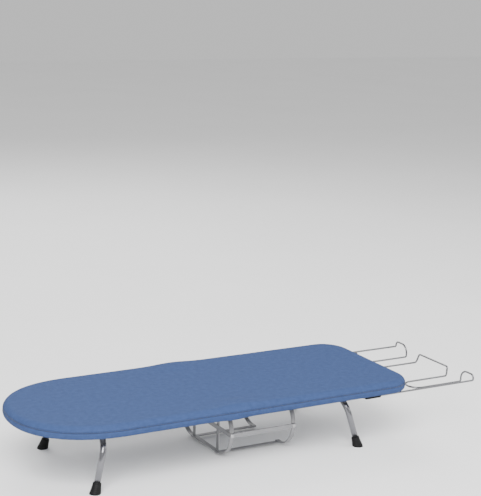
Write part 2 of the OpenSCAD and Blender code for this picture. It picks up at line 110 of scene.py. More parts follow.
def add_object(name, mesh, slot, material=None):
    """Puts a mesh in the scene, with its slot's material unless another one is given."""
    obj = bpy.data.objects.new(name, mesh)
    bpy.context.scene.collection.objects.link(obj)
    obj.data.materials.append(material or MATERIALS[slot])
    return obj


def mesh_from(name, vertices, faces, smooth=True):
    mesh = bpy.data.meshes.new(name)
    mesh.from_pydata([tuple(v) for v in vertices], [], faces)
    mesh.polygons.foreach_set("use_smooth", [smooth] * len(mesh.polygons))
    mesh.update()
    return mesh


def recalculate_normals(mesh, merge=0.0):
    """Turns the faces outwards, after welding points that are closer than merge."""
    work = bmesh.new()
    work.from_mesh(mesh)
    if merge:
        bmesh.ops.remove_doubles(work, verts=work.verts, dist=merge)
    bmesh.ops.recalc_face_normals(work, faces=work.faces)
    work.to_mesh(mesh)
    work.free()


def ring_faces(count, sides, base=0, closed=False, capped=True):
    """Faces that join count rings of points in turn. Closed rings meet again, open ones are capped."""
    faces = []
    for i in range(count if closed else count - 1):
        here, there = base + i * sides, base + (i + 1) % count * sides
        for k in range(sides):
            m = (k + 1) % sides
            faces.append((here + k, here + m, there + m, there + k))
    if capped and not closed:
        last = base + (count - 1) * sides
        faces.append(tuple(base + k for k in range(sides - 1, -1, -1)))
        faces.append(tuple(last + k for k in range(sides)))
    return faces


def ring_points(centre, radius, u, v, sides):
    """Points round a circle in the plane of u and v."""
    angles = [2 * math.pi * k / sides for k in range(sides)]
    return [centre + radius * (math.cos(a) * u + math.sin(a) * v) for a in angles]


def rounded_path(corners, steps):
    """Points along [(point, radius), ...] with each inner corner turned on an arc."""
    points = [np.array(corners[0][0], float)]
    for before, here, after in zip(corners, corners[1:], corners[2:]):
        a, b, c = (np.array(p[0], float) for p in (before, here, after))
        u, v = (a - b) / np.linalg.norm(a - b), (c - b) / np.linalg.norm(c - b)
        half = math.acos(float(np.clip(u @ v, -1, 1))) / 2
        middle = (u + v) / np.linalg.norm(u + v)
        centre = b + middle * here[1] / math.sin(half)
        start = b + u * here[1] / math.tan(half) - centre
        stop = b + v * here[1] / math.tan(half) - centre
        turn = math.pi - 2 * half
        for k in range(steps + 1):
            share = k / steps
            arc = math.sin(turn * (1 - share)) * start + math.sin(turn * share) * stop
            points.append(centre + arc / math.sin(turn))
    points.append(np.array(corners[-1][0], float))
    return points


def carried_frames(path):
    """(tangent, normal, binormal) at each point, carried along without twist."""
    path = np.array(path)
    tangents = np.gradient(path, axis=0)
    tangents /= np.linalg.norm(tangents, axis=1)[:, None]
    helper = np.array([0, 0, 1.0]) if abs(tangents[0][2]) < 0.9 else np.array([1.0, 0, 0])
    normal = np.cross(tangents[0], helper)
    frames = []
    for t in tangents:
        normal = normal - (normal @ t) * t
        normal /= np.linalg.norm(normal)
        frames.append((t, normal, np.cross(t, normal)))
    return frames


def tube_mesh(name, path, radius, sides=20, closed=False):
    """Round tube along a path. radius is a number, or one number per point."""
    radii = radius if hasattr(radius, "__len__") else [radius] * len(path)
    vertices = []
    for p, r, (_, n, b) in zip(path, radii, carried_frames(path)):
        vertices += ring_points(p, r, n, b, sides)
    mesh = mesh_from(name, vertices, ring_faces(len(path), sides, closed=closed))
    recalculate_normals(mesh)
    return mesh


# ---- Materials ----


class Nodes:
    """A material's node tree with its Principled shader, and short ways to add to it."""

    def __init__(self, name, color, roughness, metallic=0.0, **sockets):
        self.material = bpy.data.materials.new(name)
        self.material.use_nodes = True
        self.tree = self.material.node_tree
        self.shader = self.tree.nodes["Principled BSDF"]
        self.set(self.shader, "Base Color", (*color, 1))
        self.set(self.shader, "Roughness", roughness)
        self.set(self.shader, "Metallic", metallic)
        for key, value in sockets.items():
            self.set(self.shader, key.replace("_", " "), value)

    @staticmethod
    def set(node, socket, value):
        node.inputs[socket].default_value = value

    def link(self, a, b):
        self.tree.links.new(a, b)

    def coordinates(self, kind="Object", scale=(1, 1, 1)):
        source = self.tree.nodes.new("ShaderNodeTexCoord")
        mapping = self.tree.nodes.new("ShaderNodeMapping")
        self.set(mapping, "Scale", scale)
        self.link(source.outputs[kind], mapping.inputs["Vector"])
        return mapping.outputs["Vector"]

    def noise(self, vector, scale, detail=3.0):
        node = self.tree.nodes.new("ShaderNodeTexNoise")
        self.set(node, "Scale", scale)
        self.set(node, "Detail", detail)
        self.link(vector, node.inputs["Vector"])
        return node.outputs["Fac"]

    def wave(self, vector, scale, direction):
        node = self.tree.nodes.new("ShaderNodeTexWave")
        node.bands_direction = direction
        self.set(node, "Scale", scale)
        self.set(node, "Distortion", 0.6)
        self.link(vector, node.inputs["Vector"])
        return node.outputs["Fac"]

    def math(self, operation, a, b):
        node = self.tree.nodes.new("ShaderNodeMath")
        node.operation = operation
        for socket, value in zip(node.inputs, (a, b)):
            if isinstance(value, (int, float)):
                socket.default_value = value
            else:
                self.link(value, socket)
        return node.outputs[0]

    def ramp(self, factor, low, high, start=0.3, stop=0.7):
        node = self.tree.nodes.new("ShaderNodeValToRGB")
        node.color_ramp.elements[0].position = start
        node.color_ramp.elements[1].position = stop
        node.color_ramp.elements[0].color = (*low, 1)
        node.color_ramp.elements[1].color = (*high, 1)
        self.link(factor, node.inputs["Fac"])
        return node.outputs["Color"]

    def color_from(self, factor, low, high, start=0.3, stop=0.7):
        self.link(self.ramp(factor, low, high, start, stop), self.shader.inputs["Base Color"])

    def roughness_from(self, factor, low, high):
        node = self.tree.nodes.new("ShaderNodeMapRange")
        self.set(node, "To Min", low)
        self.set(node, "To Max", high)
        self.link(factor, node.inputs["Value"])
        self.link(node.outputs["Result"], self.shader.inputs["Roughness"])

    def bump(self, height, distance, strength=1.0):
        node = self.tree.nodes.new("ShaderNodeBump")
        self.set(node, "Distance", distance)
        self.set(node, "Strength", strength)
        self.link(height, node.inputs["Height"])
        self.link(node.outputs["Normal"], self.shader.inputs["Normal"])


def shade(color, factor):
    return tuple(min(1.0, c * factor) for c in color)


def woven_cotton():
    blue = (0.036, 0.063, 0.160)
    n = Nodes("woven_cotton", blue, 0.8, Specular_IOR_Level=0.15)
    uv = n.coordinates("UV")
    weave = n.math("MULTIPLY", n.wave(uv, 300, "X"), n.wave(uv, 300, "Y"))
    yarn = n.noise(uv, 700, 4)
    wash = n.noise(uv, 95, 5)
    tone = n.math("ADD", n.math("MULTIPLY", yarn, 0.55), n.math("MULTIPLY", wash, 0.45))
    n.color_from(tone, shade(blue, 0.80), shade(blue, 1.22), 0.32, 0.68)
    n.bump(n.math("ADD", weave, yarn), 0.0002, 0.5)
    return n.material


def needled_felt():
    grey = (0.50, 0.53, 0.60)
    n = Nodes("needled_felt", grey, 0.95, Sheen_Weight=0.3)
    place = n.coordinates()
    fibre = n.noise(place, 900, 6)
    clump = n.noise(place, 90, 4)
    n.color_from(n.math("MULTIPLY", n.math("ADD", fibre, clump), 0.5), shade(grey, 0.86), shade(grey, 1.12))
    n.bump(fibre, 0.0005, 0.6)
    return n.material


def enamel(name, color, roughness=0.35):
    n = Nodes(name, color, roughness, Coat_Weight=0.25, Coat_Roughness=0.15)
    place = n.coordinates()
    peel = n.noise(place, 350, 2)
    n.color_from(n.noise(place, 30, 3), shade(color, 0.94), shade(color, 1.05))
    n.roughness_from(n.noise(place, 60, 4), roughness - 0.06, roughness + 0.08)
    n.bump(peel, 0.0001, 0.25)
    return n.material


def brushed(name, color, roughness, grain=(40, 900, 900)):
    """Satin steel with a fine grain drawn out along X."""
    n = Nodes(name, color, roughness, 1.0)
    streak = n.noise(n.coordinates("Object", grain), 1.0, 5)
    smear = n.noise(n.coordinates(), 25, 3)
    n.color_from(smear, shade(color, 0.90), shade(color, 1.06))
    n.roughness_from(streak, roughness - 0.07, roughness + 0.1)
    n.bump(streak, 0.00006, 0.4)
    return n.material


def moulded(name, color, roughness, grain):
    n = Nodes(name, color, roughness, Specular_IOR_Level=0.2)
    place = n.coordinates()
    pores = n.noise(place, grain, 3)
    n.color_from(n.noise(place, 45, 3), shade(color, 0.8), shade(color, 1.35))
    n.roughness_from(n.noise(place, 120, 3), roughness - 0.08, roughness + 0.1)
    n.bump(pores, 0.00015, 0.5)
    return n.material


def braid(name, color, pitch):
    n = Nodes(name, color, 0.85, Sheen_Weight=0.2)
    place = n.coordinates()
    strands = n.math("MULTIPLY", n.wave(place, pitch, "DIAGONAL"), n.wave(place, pitch, "X"))
    n.color_from(strands, shade(color, 0.7), shade(color, 1.4), 0.1, 0.9)
    n.bump(strands, 0.0003, 0.7)
    return n.material


MATERIALS = {
    "cover_cloth": woven_cotton(),
    "pad_felt": needled_felt(),
    "mesh_steel": enamel("mesh_enamel", (0.20, 0.205, 0.22)),
    "frame_paint": enamel("frame_enamel", (0.10, 0.10, 0.12), 0.5),
    "rail_steel": brushed("rail_satin", (0.36, 0.36, 0.37), 0.38),
    "rivet_steel": brushed("rivet_bright", (0.45, 0.45, 0.46), 0.3),
    "hinge_steel": brushed("hinge_satin", (0.48, 0.48, 0.50), 0.42),
    "strap_webbing": braid("strap_webbing", (0.10, 0.10, 0.11), 260),
    "black_plastic": moulded("black_plastic", (0.006, 0.006, 0.007), 0.5, 700),
    "bright_wire": brushed("plated_wire", (0.17, 0.17, 0.18), 0.25),
    "white_enamel": enamel("white_enamel", (0.78, 0.80, 0.78), 0.28),
    "basket_steel": brushed("basket_satin", (0.28, 0.28, 0.29), 0.4),
    "drawstring_cord": braid("drawstring_braid", (0.06, 0.06, 0.065), 300),
    "leg_paint": enamel("leg_lacquer", (0.19, 0.19, 0.205), 0.2),
    "black_rubber": moulded("black_rubber", (0.004, 0.004, 0.0045), 0.55, 420),
}
for part, share in (("leg_paint", 0.85), ("basket_steel", 0.75)):
    MATERIALS[part].node_tree.nodes["Principled BSDF"].inputs["Metallic"].default_value = share
SEAM_THREAD = braid("seam_thread", (0.008, 0.020, 0.065), 500)

# ---- Carried-over CAD nodes ----

EDGE_R = 0.25 * MM


def finish_cad_nodes():
    slots = {s["node"]: s["material_slot"] for s in frame["record"]["subparts"]}
    for name, obj in frame["nodes"].items():
        obj.data.materials.clear()
        obj.data.materials.append(MATERIALS[slots[name]])
        weld = obj.modifiers.new("weld", "WELD")
        weld.merge_threshold = 0.001 * MM
        bevel = obj.modifiers.new("bevel", "BEVEL")
        bevel.width = EDGE_R
        bevel.segments = 2
        bevel.limit_method = "ANGLE"
        bevel.angle_limit = math.radians(40)
        bevel.use_clamp_overlap = True


# ---- Outline of the board ----


def run_lengths(points):
    """Distance along a line of points at which each one lies."""
    return np.concatenate([[0], np.cumsum(np.linalg.norm(np.diff(points, axis=0), axis=1))])


def outline(count):
    """About count points round the board's outline, closer at the fold, with their outward normals."""
    right, top = SQUARE_END_X - CORNER_R, HALF_W - CORNER_R
    power = 2 / NOSE_POWER
    nose_x = NOSE_TIP_X + NOSE_ROUND
    quarter = np.linspace(0, math.pi / 2, 60)
    path = [(SQUARE_END_X, 0.0)]
    path += [(right + CORNER_R * math.cos(a), top + CORNER_R * math.sin(a)) for a in quarter]
    path += [
        (nose_x - NOSE_ROUND * max(math.cos(a), 0) ** power, HALF_W * max(math.sin(a), 0) ** power)
        for a in np.linspace(math.pi / 2, 0, 300)
    ]
    path = np.array(path)
    along = run_lengths(path)
    fold_at = np.interp(-FOLD_X, -path[:, 0], along)
    dense = fold_at + np.linspace(-FOLD_COLUMNS_REACH, FOLD_COLUMNS_REACH, FOLD_COLUMNS)
    at = np.linspace(0, along[-1], count // 2 + 1)
    at = np.sort(np.concatenate([at[np.abs(at - fold_at) > FOLD_COLUMNS_REACH + MM], dense]))
    half = np.column_stack([np.interp(at, along, path[:, 0]), np.interp(at, along, path[:, 1])])
    points = np.vstack([half, half[-2:0:-1] * [1, -1]])
    tangent = np.roll(points, -1, axis=0) - np.roll(points, 1, axis=0)
    tangent /= np.linalg.norm(tangent, axis=1)[:, None]
    return points, np.column_stack([tangent[:, 1], -tangent[:, 0]]), 2 * along[-1]


def polygon_area(points):
    x, y = points[:, 0], points[:, 1]
    return abs(float(np.sum(x * np.roll(y, -1) - y * np.roll(x, -1)))) / 2


# ---- Cover ----

KNUCKLE_Y = 136 * MM
KNUCKLE_BUMP = 3.5 * MM
KNUCKLE_LONG, KNUCKLE_WIDE = 45 * MM, 26 * MM

# Loose cloth of the rim beside the fold: where it is loosest and how far that reaches
SLACK_AT, SLACK_LONG = 35 * MM, 55 * MM
FAR_SLACK, FAR_SLACK_LONG = 0.35, 50 * MM
SLACK_BULGE = 0.7 * MM
CREASE_PITCH, CREASE_H = 11 * MM, 0.9 * MM
DROOP_AT, DROOP_LONG = -14 * MM, 26 * MM
GATHER_PITCH = 8.5 * MM

# Rows of cloth points, as shares of the way to the rim and across the hem
TOP_ROWS = (0, 0.12, 0.25, 0.38, 0.5, 0.62, 0.73, 0.82, 0.89, 0.94, 0.975)
HEM_ROWS = (0.08, 0.2, 0.36, 0.54, 0.72, 0.88, 1.0)


def soft_noise(x, y, scale, seed):
    return noise.noise(Vector((x * scale, y * scale, seed)))


def top_height(x, y):
    """Ironing surface: almost flat, with a low swell where the hinges lie under the cloth."""
    swell = 0
    for s in (LEFT, RIGHT):
        u, v = (x - FOLD_X) / KNUCKLE_LONG, (y - s * KNUCKLE_Y) / KNUCKLE_WIDE
        swell += KNUCKLE_BUMP * math.exp(-(u**2) - v**4)
    return TOP_Z - 0.1 * MM + 0.25 * MM * soft_noise(x, y, 14, 3.0) + swell


def slack(x, y):
    """How loose the rim's cloth is, 0 to 1, most along the near edge beside the fold."""
    if y > 0:
        return FAR_SLACK * math.exp(-(((x - FOLD_X) / FAR_SLACK_LONG) ** 2))
    return math.exp(-(((x - FOLD_X - SLACK_AT) / SLACK_LONG) ** 2))


def droop(x, y):
    """How far the near edge sags just before the fold, 0 to 1."""
    return math.exp(-(((x - FOLD_X - DROOP_AT) / DROOP_LONG) ** 2)) if y < 0 else 0.0


def crumple(s, loose):
    """Small upright creases where the cloth is loose."""
    return CREASE_H * loose * math.sin(2 * math.pi * s / CREASE_PITCH + 2 * math.sin(s * 60))


def corner_share(x, y):
    """1 in the rounded corners of the square end, where the hem gathers most."""
    dx = (x - (SQUARE_END_X - CORNER_R)) / CORNER_R
    dy = (abs(y) - (HALF_W - CORNER_R)) / CORNER_R
    return float(np.clip(2.2 * dx, 0, 1) * np.clip(2.2 * dy, 0, 1))


def gather(s, x, y):
    """Height of the gathers along the hem, 0 to 1, at s metres round the outline."""
    drift = 1.8 * noise.noise(Vector((s * 28, 0.0, 5.0)))
    ridge = 0.5 + 0.5 * math.sin(2 * math.pi * s / GATHER_PITCH + 3 * drift)
    patch = 0.55 + 0.45 * noise.noise(Vector((s * 11, 2.0, 1.0)))
    return ridge * (0.35 + 0.65 * patch) * (0.75 + 0.25 * corner_share(x, y))


def side_profile(wobble, low, roll):
    """Side of the cover as (distance out from the rim's start, height), from the top to the hem."""
    profile = []
    for angle in np.radians([0, 15, 30, 45, 60, 75, 86]):
        profile.append((RIM_W * math.sin(angle), TOP_Z - SEAM_DROP * (1 - math.cos(angle))))
    band_z = TOP_Z - SEAM_DROP - 0.6 * MM
    for share in (0.0, 0.12, 0.3, 0.55, 0.8, 1.0):
        bulge = (0.9 * MM + wobble) * math.sin(math.pi * share) ** 0.8
        out = RIM_W - 0.5 * MM * math.exp(-share * 12) + bulge
        profile.append((out, band_z - (band_z - low - roll) * share))
    for angle in np.radians([20, 40, 60, 80]):
        profile.append((RIM_W - roll * (1 - math.cos(angle)), low + roll * (1 - math.sin(angle))))
    return profile


def cover_columns(points, normals):
    """For each outline point, the line of cloth from the middle of the board to the hem's inner edge."""
    anchor_low, anchor_high = NOSE_TIP_X + 150 * MM, SQUARE_END_X - 110 * MM
    columns, flats = [], []
    for s, (x, y), (nx, ny) in zip(run_lengths(points), points, normals):
        anchor = np.array([min(max(x, anchor_low), anchor_high), 0.0])
        normal = np.array([nx, ny])
        rim = np.array([x, y]) - normal * RIM_W
        places, run = [], []
        for t in TOP_ROWS:
            p = anchor + (rim - anchor) * t
            places.append((p[0], p[1], top_height(*p)))
            run.append(tuple(p))
        loose = slack(x, y)
        lift = top_height(*rim) - TOP_Z
        low = UNDER_Z + 0.2 * MM + 0.3 * MM * loose - 2.4 * MM * droop(x, y)
        roll = ROLL_R + 0.6 * MM * loose
        wobble = 0.6 * MM * noise.noise(Vector((s * 16, 0.0, 9.0))) + crumple(s, loose)
        before, reach = (0.0, TOP_Z), 0.0
        for out, z in side_profile(wobble, low, roll):
            reach += math.hypot(out - before[0], z - before[1])
            before = (out, z)
            share = max(0.0, (z - TOP_Z + SEAM_DROP) / SEAM_DROP)
            p = rim + normal * (out + SLACK_BULGE * loose * (1 - share))
            sag = 1.4 * MM * droop(x, y) * math.sin(math.pi * share)
            places.append((p[0], p[1], z + lift * share - sag))
            run.append(tuple(rim + normal * reach))
        ridge = gather(s, x, y)
        width = HEM_W * (1 + 0.55 * corner_share(x, y)) + 1.0 * MM * (ridge - 0.5)
        for share in HEM_ROWS:
            p = rim + normal * (RIM_W - roll - (width - roll) * share)
            fold = (0.7 - 2.2 * ridge * (1 + 0.5 * corner_share(x, y))) * MM * min(1, share * 2.5)
            places.append((p[0], p[1], low + 0.2 * MM + fold))
            run.append(tuple(rim + normal * (reach + width * share)))
        columns.append(places)
        flats.append(run)
    return columns, flats


def make_cover():
    """Stretched cover in one piece over both halves, with its hem turned in under the frame."""
    points, normals, length = outline(1000)
    columns, flats = cover_columns(points, normals)
    rows = len(columns[0])
    vertices = [v for column in columns for v in column]
    count = len(columns)
    faces = []
    for i in range(count):
        j = (i + 1) % count
        for k in range(rows - 1):
            faces.append((i * rows + k, i * rows + k + 1, j * rows + k + 1, j * rows + k))
    mesh = mesh_from("cover", vertices, faces)
    layer = mesh.uv_layers.new(name="cloth")
    flat = [uv for column in flats for uv in column]
    for loop in mesh.loops:
        layer.data[loop.index].uv = flat[loop.vertex_index]
    recalculate_normals(mesh, merge=0.02 * MM)
    obj = add_object("cover", mesh, "cover_cloth")
    thick = obj.modifiers.new("thickness", "SOLIDIFY")
    thick.thickness = CLOTH_T
    thick.offset = -1
    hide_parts("cover_nose", "cover_square")
    blend_at_fold(obj)
    down = TOP_Z - UNDER_Z + HEM_W
    area = polygon_area(points) + length * down
    return points, normals, length


def blend_at_fold(obj):
    """Bakes the piece's placing into its mesh points."""
    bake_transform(obj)


def seam_point(point, normal, out, drop):
    """Place on the cover's side, out from the outline and drop below the top."""
    out += SLACK_BULGE * slack(*point)
    return np.array([point[0] + normal[0] * out, point[1] + normal[1] * out, TOP_Z - drop])


def make_seam(points, normals, length):
    """Seam that joins the top cloth to the side band, with its row of stitches."""
    path = [seam_point(p, n, 0.15 * MM, SEAM_DROP + 0.3 * MM) for p, n in zip(points, normals)]
    mesh = tube_mesh("cover_seam", path[::2], 0.55 * MM, 6, True)
    blend_at_fold(add_object("cover_seam", mesh, "cover_cloth", SEAM_THREAD))
    vertices, faces = [], []
    pitch, long, wide = 4.2 * MM, 1.3 * MM, 0.32 * MM
    runs = run_lengths(points)
    for at in np.arange(0, length - pitch, pitch):
        k = int(np.searchsorted(runs, at, "right")) - 1
        nxt = (k + 1) % len(points)
        share = (at - runs[k]) / np.linalg.norm(points[nxt] - points[k])
        p = points[k] * (1 - share) + points[nxt] * share
        n = normals[k]
        centre = seam_point(p, n, 0.0, SEAM_DROP - 2.2 * MM)
        along = np.array([-n[1], n[0], 0.0])
        out = np.array([n[0], n[1], 0.0])
        faces += ring_faces(4, 6, len(vertices))
        for end in (-1, -0.5, 0.5, 1):
            r = wide * (0.35 if abs(end) == 1 else 1)
            vertices += ring_points(centre + along * end * long, r, out, np.array([0, 0, 1.0]), 6)
    mesh = mesh_from("cover_stitches", vertices, faces)
    recalculate_normals(mesh)
    blend_at_fold(add_object("cover_stitches", mesh, "cover_cloth", SEAM_THREAD))


# ---- Felt pads ----

PAD_INSET = 3.0 * MM
PAD_LIMIT = 1.4 * MM


def half_outline(side, inset, gap, count=260):
    """Closed outline of one half, inset from the board's edge and stopping short of the fold."""
    points, normals, _ = outline(1200)
    inner = points - normals * inset
    limit = FOLD_X + side * gap
    keep = inner[(inner[:, 0] - limit) * side > 0]
    split = int(np.argmax(np.linalg.norm(np.roll(keep, -1, axis=0) - keep, axis=1)))
    keep = np.roll(keep, -split - 1, axis=0)
    first, last = keep[0].copy(), keep[-1].copy()
    first[0] = last[0] = limit
    edge = [last + (first - last) * t for t in np.linspace(0, 1, 40)[:-1]]
    loop = np.vstack([keep, edge, keep[:1]])
    along = run_lengths(loop)
    at = np.linspace(0, along[-1], count, endpoint=False)
    return np.column_stack([np.interp(at, along, loop[:, 0]), np.interp(at, along, loop[:, 1])])


def pad_shell(name, loop):
    """Closed slab with rounded edges, slightly thinner than its room so that it can swell."""
    middle = loop.mean(axis=0)
    low, high = PAD_LOW + 0.9 * MM, PAD_HIGH - 0.9 * MM
    rings = [(0.0, high), (0.5, high), (0.97, high), (0.992, (low + high) / 2 + 1 * MM)]
    rings += [(0.992, (low + high) / 2 - 1 * MM), (0.97, low), (0.5, low), (0.0, low)]
    vertices = []
    for share, z in rings:
        for p in loop:
            q = middle + (p - middle) * share
            vertices.append((q[0], q[1], z))
    mesh = mesh_from(name, vertices, ring_faces(len(rings), len(loop), capped=False))
    recalculate_normals(mesh, merge=0.01 * MM)
    return mesh


def apply_modifiers(obj):
    """Replaces an object's mesh with what its modifiers make of it."""
    graph = bpy.context.evaluated_depsgraph_get()
    made = bpy.data.meshes.new_from_object(obj.evaluated_get(graph))
    obj.modifiers.clear()
    obj.data = made


def swell(obj):
    """Lets the pad fill out by cloth simulation, with each point held near where it started."""
    remesh = obj.modifiers.new("remesh", "REMESH")
    remesh.mode = "VOXEL"
    remesh.voxel_size = 5 * MM
    apply_modifiers(obj)
    start = np.array([v.co for v in obj.data.vertices])
    cloth = obj.modifiers.new("cloth", "CLOTH")
    cloth.settings.use_pressure = True
    cloth.settings.uniform_pressure_force = 4
    cloth.settings.effector_weights.gravity = 0
    cloth.settings.quality = 4
    for number in range(1, 21):
        bpy.context.scene.frame_set(number)
    apply_modifiers(obj)
    bpy.context.scene.frame_set(1)
    moved = np.array([v.co for v in obj.data.vertices]) - start
    far = np.linalg.norm(moved, axis=1)
    start = start + moved * np.minimum(1, PAD_LIMIT / np.maximum(far, 1e-9))[:, None]
    start[:, 2] = np.clip(start[:, 2], PAD_LOW + 0.2 * MM, PAD_HIGH + 0.2 * MM)
    obj.data.vertices.foreach_set("co", start.astype(np.float32).ravel())
    obj.data.polygons.foreach_set("use_smooth", [True] * len(obj.data.polygons))
    obj.data.update()


def make_pad(half, side):
    name = f"felt_pad_{half}"
    mesh = pad_shell(name, half_outline(side, PAD_INSET, 1.5 * MM))
    obj = add_object(name, mesh, "pad_felt")
    swell(obj)
    obj.data.materials.clear()
    obj.data.materials.append(MATERIALS["pad_felt"])
    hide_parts(f"pad_{half}")
    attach(obj, f"{half}_half")


# ---- Expanded metal ----


def line_span(loop, origin, direction):
    """Where a line enters and leaves a convex outline, as distances along it, or None."""
    hits = []
    for a, b in zip(loop, np.roll(loop, -1, axis=0)):
        edge = b - a
        cross = direction[0] * edge[1] - direction[1] * edge[0]
        if abs(cross) < 1e-12:
            continue
        gap = a - origin
        t = (gap[0] * edge[1] - gap[1] * edge[0]) / cross
        u = (gap[0] * direction[1] - gap[1] * direction[0]) / cross
        if 0 <= u < 1:
            hits.append(t)
    return (min(hits), max(hits)) if len(hits) >= 2 else None


def expanded_metal(half, side):
    """Diamonds made by two families of slanted strands, wider where they meet."""
    loop = half_outline(side, 2.8 * MM, 2.4 * MM, 200)
    slope = DIAMOND_SHORT / DIAMOND_LONG
    middle_z = (MESH_LOW + MESH_HIGH) / 2
    low_x, high_x = loop[:, 0].min(), loop[:, 0].max()
    vertices, faces = [], []
    for lean in (1, -1):
        direction = np.array([lean * slope, 1.0]) / math.hypot(slope, 1)
        across = np.array([direction[1], -direction[0]])
        first = math.floor((low_x - slope * HALF_W) / DIAMOND_SHORT)
        last = math.ceil((high_x + slope * HALF_W) / DIAMOND_SHORT)
        node_gap = DIAMOND_LONG / 2 / direction[1]
        for c in range(first, last + 1):
            origin = np.array([c * DIAMOND_SHORT, 0.0])
            span = line_span(loop, origin, direction)
            if span is None or span[1] - span[0] < 4 * MM:
                continue
            inner = np.arange(math.ceil(span[0] / (node_gap / 4)), math.floor(span[1] / (node_gap / 4)) + 1)
            stops = [span[0]] + [k * node_gap / 4 for k in inner] + [span[1]]
            faces += ring_faces(len(stops), 4, len(vertices))
            for t in stops:
                near = 0.5 + 0.5 * math.cos(2 * math.pi * t / node_gap)
                wide = STRAND_HALF_W + KNOT_EXTRA * near**3
                tip = 0.15 * MM * (1 - near)
                p = origin + direction * t
                for u, v in ((-1, -1), (1, -1), (1, 1), (-1, 1)):
                    q = p + across * u * wide
                    z = middle_z + v * STRAND_HALF_T + u * lean * tip
                    vertices.append((q[0], q[1], z))
    mesh = mesh_from(f"expanded_metal_{half}", vertices, faces, smooth=False)
    recalculate_normals(mesh)
    obj = add_object(f"expanded_metal_{half}", mesh, "mesh_steel")
    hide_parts(f"mesh_{half}")
    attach(obj, f"{half}_half")


# ---- Legs ----


def leg_geometry(joint, side):
    """Function that puts a point (y, z) of the upright leg in its splayed place, and the shank's sizes."""
    pivot = JOINTS[joint]["pos_m"]

    def place(y, z):
        return np.array([pivot[0] - side * z * math.sin(SPLAY), y, pivot[2] + z * math.cos(SPLAY)])

    reach = pivot[2] / math.cos(SPLAY)
    shank = (reach - LEG_BEND_R * (1 - math.cos(LEG_BEND))) / math.sin(LEG_BEND)
    shank_y = FOOT_Y - shank * math.cos(LEG_BEND)
    bend_y = shank_y - LEG_BEND_R * math.sin(LEG_BEND)
    return place, shank, shank_y, bend_y


def make_leg(half, side):
    """Two bent tubes, each with its foot. down() gives a place along the shank."""
    place, shank, shank_y, bend_y = leg_geometry(f"{half}_leg_hinge", side)
    bend_z = -LEG_BEND_R * (1 - math.cos(LEG_BEND))
    corner_y = bend_y + LEG_BEND_R * math.tan(LEG_BEND / 2)

    def down(distance):
        return shank_y + distance * math.cos(LEG_BEND), bend_z - distance * math.sin(LEG_BEND)

    for label, hand in (("left", LEFT), ("right", RIGHT)):
        corners = [
            (place(hand * TUBE_INNER_Y, 0), 0),
            (place(hand * corner_y, 0), LEG_BEND_R),
            (place(hand * down(shank - 9 * MM)[0], down(shank - 9 * MM)[1]), 0),
        ]
        mesh = tube_mesh(f"tube_{half}_{label}", rounded_path(corners, 32), TUBE_R, 40)
        tube = add_object(f"tube_{half}_{label}", mesh, "leg_paint")
        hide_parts(f"leg_tube_{half}_{label}")
        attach(tube, f"{half}_leg")
        make_foot(half, label, hand, place, down, shank)


def make_foot(half, label, hand, place, down, shank):
    """Flared rubber foot: a rolled top edge, ribs round it, and a sole cut level."""
    profile = [(FOOT_H, TUBE_R), (FOOT_H + 0.6 * MM, TUBE_R + 0.6 * MM), (FOOT_H, TUBE_R + 1.5 * MM)]
    fine = 8
    for k in range(FOOT_RIBS * fine + 1):
        share = k / (FOOT_RIBS * fine)
        ripple = FOOT_RIB_H * (0.5 - 0.5 * math.cos(2 * math.pi * k / fine))
        radius = FOOT_TOP_R + FOOT_FLARE * share**1.3 + ripple
        profile.append((FOOT_H * (1 - share) - 0.8 * MM * share, radius))
    profile += [(-3.2 * MM, 11.5 * MM), (-3.3 * MM, 0.1 * MM)]
    path = [place(hand * down(shank - h)[0], down(shank - h)[1]) for h, _ in profile]
    axis = path[-1] - path[2]
    axis /= np.linalg.norm(axis)
    across = np.cross(axis, [1.0, 0, 0])
    across /= np.linalg.norm(across)
    third = np.cross(axis, across)
    sides, vertices = 48, []
    for centre, (_, radius) in zip(path, profile):
        for v in ring_points(centre, radius, across, third, sides):
            v[2] = max(v[2], 0.0)
            vertices.append(v)
    name = f"rubber_foot_{half}_{label}"
    mesh = mesh_from(name, vertices, ring_faces(len(profile), sides))
    recalculate_normals(mesh, merge=0.005 * MM)
    obj = add_object(name, mesh, "black_rubber")
    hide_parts(f"foot_{half}_{label}")
    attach(obj, f"{half}_leg")


# ---- Iron rest ----


def make_iron_rest():
    """One wire: two rods, an arch and a flat loop on each side, and the raised crossbar."""
    low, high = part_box("iron_rest_wire")
    radius = 2 * MM
    end_x, start_x, rod_y = high.x - radius, low.x + radius, high.y - radius
    arch_z = high.z - radius
    loop_z, rod_z, bar_z = 95 * MM, 109.5 * MM, 115 * MM
    out_y, in_y, loop_x = 101 * MM, 56 * MM, end_x - 130 * MM
    sides = []
    for s in (LEFT, RIGHT):
        corners = [
            ((end_x, 0, bar_z), 0), ((end_x, s * 52 * MM, bar_z), 5 * MM),
            ((end_x - 5 * MM, s * in_y, loop_z), 6 * MM), ((loop_x, s * in_y, loop_z), 22.4 * MM),
            ((loop_x, s * out_y, loop_z), 22.4 * MM), ((end_x, s * out_y, loop_z), 4 * MM),
            ((end_x, s * out_y, arch_z), 19 * MM), ((end_x, s * rod_y, arch_z), 9 * MM),
            ((end_x, s * rod_y, rod_z), 3 * MM), ((start_x, s * rod_y, rod_z), 2.2 * MM),
            ((start_x, s * (rod_y - 6 * MM), rod_z), 0),
        ]
        sides.append(rounded_path(corners, 14))
    path = sides[0][:0:-1] + sides[1][1:]
    obj = add_object("rest_wire", tube_mesh("rest_wire", path, radius, 18), "bright_wire")
    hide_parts("iron_rest_wire")
    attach(obj, "iron_rest")


